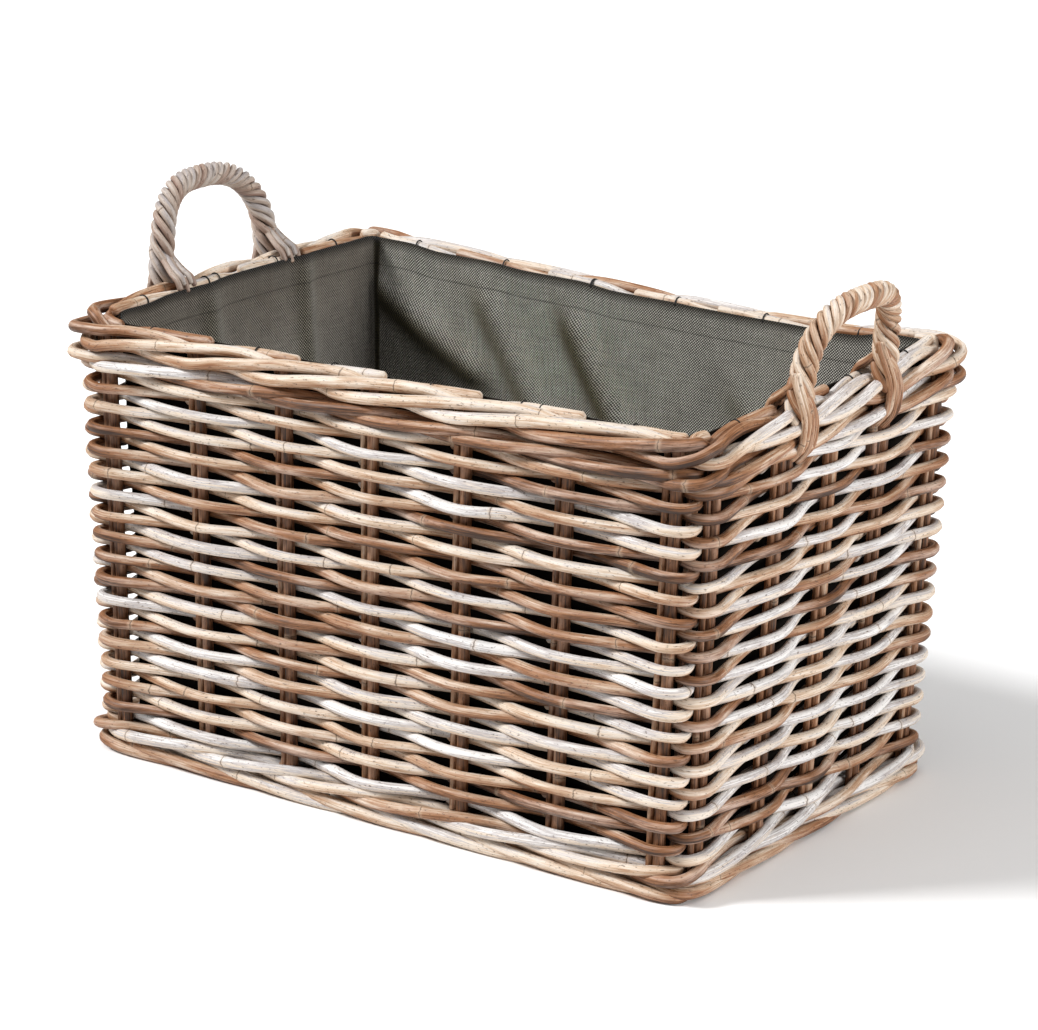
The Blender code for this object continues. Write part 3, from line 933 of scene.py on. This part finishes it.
def handle(side, finish, tones):
    """A bow, its wound strands and their spread ends."""
    outward, shape = OUTWARD[side], HANDLE_SHAPES[side]
    points, length = even_points(lambda share: arch(outward.x, shape, share), HANDLE_STEPS)
    bow = new_rods()
    legs = []
    for foot in (points[0], points[-1]):
        wall = outward * (handle_line - shape["out"] - LEG_INSET)
        legs.append([foot - UP * BOW_STEP * i + wall * min(1.0, 0.4 * i)
                     for i in range(1, BOW_STEPS + 1)])
    rod(bow, legs[0][::-1] + points + legs[1], BOW_RADIUS, BOW_TINT)
    piece(f"{side}_handle_bow_rod", bow, finish, [f"{side}_handle_bow"])

    tight = [min(1.0, 1.5 * math.sin(math.pi * i / HANDLE_STEPS) ** 1.6)
             for i in range(HANDLE_STEPS + 1)]
    phases = [0.0]
    for i in range(HANDLE_STEPS):
        lay = LEG_LAY + (TOP_LAY - LEG_LAY) * tight[i]
        phases.append(phases[-1] + 2 * math.pi * length / HANDLE_STEPS / lay)
    bm = new_rods()
    for strand in range(STRANDS):
        path, sizes = [], []
        radius = STRAND_RADIUS * random.uniform(0.94, 1.04)
        slip = random.uniform(-0.12, 0.12)
        for i, point in enumerate(points):
            ahead = (points[min(i + 1, HANDLE_STEPS)] - points[max(i - 1, 0)]).normalized()
            across = (outward - ahead * outward.dot(ahead)).normalized()
            beside = ahead.cross(across)
            angle = -phases[i] - 2 * math.pi * strand / STRANDS + slip
            reach = ROPE_OUT * (1.0 - 0.4 * TIGHTER * tight[i])
            path.append(point + (across * math.cos(angle) + beside * math.sin(angle)) * reach)
            sizes.append(radius * (1.0 - TIGHTER * tight[i]))
        rod(bm, path, sizes, random.choice(tones))
    for leg in (points[:STEPS_IN_TAIL], points[:-STEPS_IN_TAIL - 1:-1]):
        tails(bm, leg, outward, shape["out"] - handle_line, tones)
    piece(f"{side}_handle_strands", bm, finish, [f"{side}_handle_rope"])


handle("right", handle_finish, RIGHT_TONES)
handle("left", grey_handle_finish, LEFT_TONES)
print("handles:", STRANDS, "strands each; the end walls' stakes stand at", round(handle_line, 4))

# %% [markdown]
# ## The liner
# The liner is a loose bag of coarse cloth, sewn from a cross-shaped cut with a seam up each
# corner. It is stitched to the border at the top and hangs in soft folds. It starts as a flat grid
# for the floor, whose edge is extruded upwards row by row, and then every point is moved a little,
# as hanging cloth would lie.

# %% Liner
LINER_CELL = 0.007
LINER_CORNER = 0.012
LINER_FLOOR_CORNER = 0.010
LINER_SAG = 0.0045
LINER_FOLD = 0.0120
LINER_HEM = 0.025
HEM_WIDTH = 0.0035
HEM_DEPTH = 0.0010
EDGE_SHARPNESS = 24  # how close to a wall the cloth's points take part in its folds
liner_low, liner_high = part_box("liner")
wall_lean = stake_at(9, rim_height).x - stake_at(9, 0.0).x


def inside_box(point, half_x, half_y, corner):
    """A point of the box's outline, moved in where the corner is round."""
    reach_x, reach_y = half_x - corner, half_y - corner
    away = Vector((max(abs(point.x) - reach_x, 0.0), max(abs(point.y) - reach_y, 0.0)))
    if away.x > 0 and away.y > 0:
        away = away.normalized() * max(away.x, away.y)
        return Vector((math.copysign(reach_x + away.x, point.x),
                       math.copysign(reach_y + away.y, point.y), point.z))
    return point


# %% Liner folds
FOLD_WIDTH = 0.011
FOLD_END = 0.025
FOLDS = {  # each wall from inside: across and down where a fold starts and stops, and how strong
    "back": ((-0.310, 0.035, -0.185, 0.100, 1.0), (-0.165, 0.045, -0.095, 0.150, 0.6),
             (-0.065, 0.050, 0.030, 0.200, 0.9), (0.120, 0.090, 0.200, 0.240, 0.4)),
    "left": ((-0.060, 0.030, -0.050, 0.200, 0.4), (0.080, 0.020, 0.085, 0.180, 0.4)),
    "front": ((-0.200, 0.050, -0.120, 0.200, 0.7), (0.100, 0.060, 0.190, 0.220, 0.7)),
    "right": ((-0.080, 0.050, -0.020, 0.200, 0.6),),
}


def fold_at(point, beside=0.0):
    """0 on smooth cloth and up to 1 on a fold; beside looks for folds a little to the left."""
    if abs(point.y) * liner_high.x > abs(point.x) * liner_high.y:
        wall, across = ("back", point.x) if point.y > 0 else ("front", -point.x)
    else:
        wall, across = ("right", -point.y) if point.x > 0 else ("left", point.y)
    here = Vector((across, liner_high.z - point.z))
    total = 0.0
    for start_across, start_down, stop_across, stop_down, strength in FOLDS[wall]:
        line = Vector((stop_across - start_across, stop_down - start_down))
        away = here - Vector((start_across, start_down))
        run = away.dot(line.normalized())
        past = max(-run, run - line.length, 0.0)
        aside = away.dot(Vector((line.y, -line.x)).normalized()) - beside
        total += strength * math.exp(-((aside / FOLD_WIDTH) ** 2) - (past / FOLD_END) ** 2)
    return total


def cloth_lie(point):
    """Where a point of the liner hangs, with the wall's lean, round corners and soft folds."""
    drop = (liner_high.z - point.z) / (liner_high.z - liner_low.z)
    lean = 1.0 - wall_lean * drop / liner_high.x
    over_floor = max(0.0, LINER_FLOOR_CORNER - (point.z - liner_low.z))
    tuck = LINER_FLOOR_CORNER - math.sqrt(max(LINER_FLOOR_CORNER ** 2 - over_floor ** 2, 0.0))
    half_x, half_y = liner_high.x * lean - tuck, liner_high.y * lean - tuck
    spot = Vector((point.x * half_x / liner_high.x, point.y * half_y / liner_high.y, point.z))
    spot = inside_box(spot, half_x, half_y, LINER_CORNER)
    side_x = (abs(point.x) / liner_high.x) ** EDGE_SHARPNESS
    side_y = (abs(point.y) / liner_high.y) ** EDGE_SHARPNESS
    held = min(1.0, drop * 5.0) * (1.0 - 0.8 * over_floor / LINER_FLOOR_CORNER)
    hollow = LINER_SAG * held * (0.7 + noise.noise(point * 9.0)) + LINER_FOLD * fold_at(point)
    hem = math.exp(-((liner_high.z - LINER_HEM - point.z) / HEM_WIDTH) ** 2)
    hollow -= HEM_DEPTH * hem
    inward = Vector((math.copysign(side_x, point.x), math.copysign(side_y, point.y), 0.0))
    return spot - inward * hollow + UP * lift_near(spot) * lifted(point.z)


print("folds:", sum(len(folds) for folds in FOLDS.values()))

# %% Liner cloth shape
# painted shade on one side of each fold and a little painted light on the other, as light falls
# across it
PAINTED_SHADE_SIDE = -0.006  # a fold is dark on one side and a little paler on the other
PAINTED_LIGHT_SIDE = 0.017
FOLD_PAINTED_LIGHT = 0.4
SEAM_PAINTED_SHADE = 1.6
AT_WALL = 0.001


def at_wall(point, axis):
    """Whether a point of the straight box is on one of its two walls across an axis."""
    return abs(point[axis]) > liner_high[axis] - AT_WALL


bm = bmesh.new()
bmesh.ops.create_grid(bm, x_segments=round(2 * liner_high.x / LINER_CELL),
                      y_segments=round(2 * liner_high.y / LINER_CELL), size=1.0,
                      matrix=Matrix.Translation((0, 0, liner_low.z))
                      @ Matrix.Diagonal((liner_high.x, liner_high.y, 1, 1)))
rim_edges = [edge for edge in bm.edges if edge.is_boundary]
liner_rows = round((liner_high.z - liner_low.z) / LINER_CELL)
for row in range(liner_rows):
    made = bmesh.ops.extrude_edge_only(bm, edges=rim_edges)["geom"]
    ring = [item for item in made if isinstance(item, bmesh.types.BMVert)]
    rim_edges = [item for item in made
                 if isinstance(item, bmesh.types.BMEdge) and item.is_boundary]
    bmesh.ops.translate(bm, verts=ring, vec=(0, 0, (liner_high.z - liner_low.z) / liner_rows))
painted_light_and_shade = bm.verts.layers.float.new("fold")
flat_place = bm.verts.layers.float_vector.new("flat_place")
for vert in bm.verts:
    vert[flat_place] = vert.co
    # painted shade and painted light of the folds, kept with each point of the cloth
    vert[painted_light_and_shade] = fold_at(vert.co, PAINTED_SHADE_SIDE) - FOLD_PAINTED_LIGHT * fold_at(vert.co, PAINTED_LIGHT_SIDE)
    # painted shade down each corner seam, carried in the same channel as the folds' painted shade
    if at_wall(vert.co, 0) and at_wall(vert.co, 1):
        vert[painted_light_and_shade] = SEAM_PAINTED_SHADE
    vert.co = cloth_lie(vert.co)
cloth_map = bm.loops.layers.uv.new("cloth")
for face in bm.faces:
    flat = [vert[flat_place] for vert in face.verts]
    on_end = all(at_wall(here, 0) for here in flat)
    on_long = all(at_wall(here, 1) for here in flat)
    for loop, here in zip(face.loops, flat):
        if on_end:
            loop[cloth_map].uv = (here.y, here.z)
        elif on_long:
            loop[cloth_map].uv = (here.x, here.z)
        else:
            loop[cloth_map].uv = (here.x, here.y)
print("liner:", len(bm.faces), "squares of cloth")

# %% [markdown]
# The cloth is a plain weave, one thread over and one under, in dark olive and brown yarns with
# pale flecks. Its pattern follows the piece's own UV map, which is in metres. Painted shade darkens
# the folds, the corner seams, the top under the border and the whole left wall, and a little
# painted light lies beside each fold.

# %% Cloth
THREAD = 0.0014
THREAD_LONG = 0.06  # how fast a yarn's own tone changes along it
YARN_CONTRAST = 0.55
DIRT_CONTRAST = 0.35
THREAD_CONTRAST = 0.60
FOLD_PAINTED_SHADING = 0.26
HEM_DARKER = 0.25
LEFT_WALL = -0.285
# how far down the painted shadow under the border reaches
RIM_SHADOW = 0.010
YARNS = [
    (0.15, shade(0.16, 0.15, 0.13)),
    (0.34, shade(0.34, 0.33, 0.30)),
    (0.50, shade(0.50, 0.485, 0.45)),
    (0.66, shade(0.67, 0.655, 0.62)),
    (0.85, shade(0.88, 0.865, 0.83)),
]
STAIN = shade(0.56, 0.44, 0.30)
# painted shade colour for the left wall, where less light falls
LEFT_WALL_PAINTED_SHADE = shade(0.52, 0.455, 0.385)
# olive tint of the painted shade in the folds
FOLD_PAINTED_SHADE = shade(0.66, 0.62, 0.44)
# colour of the painted shadow under the border
RIM_PAINTED_SHADOW = shade(0.35, 0.33, 0.29)


def liner_cloth():
    """Coarse plain-woven cloth, with painted shade in its folds, corner seams, under the border and
    on the left wall, and painted light beside the folds.
    """
    finish, tree, shader = new_finish("liner_cloth", roughness=0.92, shine=0.15, fuzz=0.12,
                                      fuzz_roughness=0.5)
    spot = add_node(tree, "ShaderNodeUVMap", uv_map="cloth").outputs["UV"]
    parts = add_node(tree, "ShaderNodeSeparateXYZ", {0: spot})
    ripple = times(tree, speckle(tree, spot, 60.0), 0.6)
    across = plus(tree, sums(tree, "DIVIDE", parts.outputs["X"], THREAD), ripple)
    up = plus(tree, sums(tree, "DIVIDE", parts.outputs["Y"], THREAD), ripple)
    wave_x = sums(tree, "SINE", times(tree, across, math.pi))
    wave_y = sums(tree, "SINE", times(tree, up, math.pi))
    over = times(tree, wave_x, wave_y)
    thick, thin = 1 / THREAD, THREAD_LONG / THREAD
    warp = speckle(tree, stretched(tree, spot, (thick, thin, 1.0)), 1.0, 1.0)
    weft = speckle(tree, stretched(tree, spot, (thin, thick, 1.0)), 1.0, 1.0)
    share = plus(tree, times(tree, over, 0.5), 0.5)
    yarn = add_node(tree, "ShaderNodeMix", {0: share, 2: warp, 3: weft}).outputs[0]
    dirt = speckle(tree, spot, 9.0, 4.0, 0.6)
    fold = add_node(tree, "ShaderNodeAttribute", attribute_name="fold").outputs["Fac"]
    tone = varied(tree, 0.5, yarn, YARN_CONTRAST)
    tone = varied(tree, tone, dirt, DIRT_CONTRAST)
    # painted shade in the folds and a little painted light beside them
    tone = minus(tree, tone, times(tree, fold, FOLD_PAINTED_SHADING))
    tone = plus(tree, tone, times(tree, over, THREAD_CONTRAST))
    from_hem = minus(tree, parts.outputs["Y"], liner_high.z - LINER_HEM)
    hem_line = near_line(tree, sums(tree, "ABSOLUTE", from_hem), 900.0)
    tone = minus(tree, tone, times(tree, hem_line, HEM_DARKER))
    colour = ramp(tree, tone, YARNS)
    place = add_node(tree, "ShaderNodeTexCoord").outputs["Object"]
    place = add_node(tree, "ShaderNodeSeparateXYZ", {0: place}).outputs["X"]
    brown = speckle(tree, stretched(tree, spot, (22.0, 3.0, 1.0)), 1.0, 2.0)
    stain = times(tree, mask(tree, brown, 0.50, 3.0), 0.4)
    # painted shade: the whole left wall is darkened and browned, where less light falls
    left_wall_painted_shade = mask(tree, LEFT_WALL, place, 60.0)
    # the painted shade in the folds and seams is also tinted olive
    fold_and_seam_painted_shade = times(tree, fold, 1.2, True)
    # painted shadow along the top of the liner, under the border
    under_rim_painted_shadow = mask(tree, parts.outputs["Y"], liner_high.z - RIM_SHADOW, 120.0)
    for share, darker in ((stain, STAIN), (left_wall_painted_shade, LEFT_WALL_PAINTED_SHADE), (fold_and_seam_painted_shade, FOLD_PAINTED_SHADE),
                          (under_rim_painted_shadow, RIM_PAINTED_SHADOW)):
        colour = mixed(tree, share, colour, darker, "MULTIPLY")
    bump = add_node(tree, "ShaderNodeBump", {"Height": over, "Strength": 0.9, "Distance": 0.0009})
    tree.links.new(colour, shader.inputs["Base Color"])
    tree.links.new(bump.outputs["Normal"], shader.inputs["Normal"])
    return finish


def liner_back_painted_shade():
    """The back of the cloth, painted near-black as painted shade, seen only through the gaps of the
    weave.
    """
    finish, tree, shader = new_finish("liner_back_painted_shade", roughness=0.95, shine=0.1)
    spot = add_node(tree, "ShaderNodeUVMap", uv_map="cloth").outputs["UV"]
    painted_shade_noise = speckle(tree, spot, 40.0, 4.0, 0.6)
    colour = ramp(tree, painted_shade_noise, [(0.3, shade(0.05, 0.04, 0.035)), (0.8, shade(0.13, 0.11, 0.09))])
    tree.links.new(colour, shader.inputs["Base Color"])
    return finish


print("cloth threads", THREAD * 1000, "mm wide")

# %% Liner bag
CLOTH_THICKNESS = 0.0013

liner = piece("liner_bag", bm, liner_back_painted_shade(), ["liner"])
liner.data.materials.append(liner_cloth())
thickness = liner.modifiers.new("cloth thickness", "SOLIDIFY")
thickness.thickness = CLOTH_THICKNESS
thickness.offset = -1.0
thickness.material_offset = 1
thickness.material_offset_rim = 1

# %% [markdown]
# ## Stitches
# The liner is sewn to the border with black thread: a small loop goes round the inner run of the
# border rods between each two stakes, and here and there it is doubled.

# %% Stitches
STITCH_RADIUS = 0.0007
STITCH_LOOP = 0.0059
STITCH_STEPS = 16
INNER_RUN_OUT = -0.0128
INNER_RUN_UNDER = 0.0055
CORNER_SPAN = 0.05  # a shorter span than this is a corner, and has no stitch

black_thread = new_finish("black_thread", colour=shade(0.07, 0.06, 0.05), roughness=0.7)[0]
bm = new_rods()
for number in range(ROUND):
    if spans[number] < CORNER_SPAN:
        continue
    for extra in (0.0, 0.06)[:random.choice((1, 1, 2))]:
        place = number + 0.55 + extra + random.uniform(-0.08, 0.08)
        middle = on_wall(place, INNER_RUN_OUT, rim_height - INNER_RUN_UNDER)
        across = (on_wall(place, 0.0, rim_height) - on_wall(place, -0.01, rim_height)).normalized()
        path = []
        for step in range(STITCH_STEPS + 1):
            angle = 2.0 * math.pi * step / STITCH_STEPS
            path.append(middle + (across * math.sin(angle) + UP * math.cos(angle)) * STITCH_LOOP)
        rod(bm, path, STITCH_RADIUS, 0.0, sides=6)
piece("liner_stitches", bm, black_thread)
print("stitches round the border")
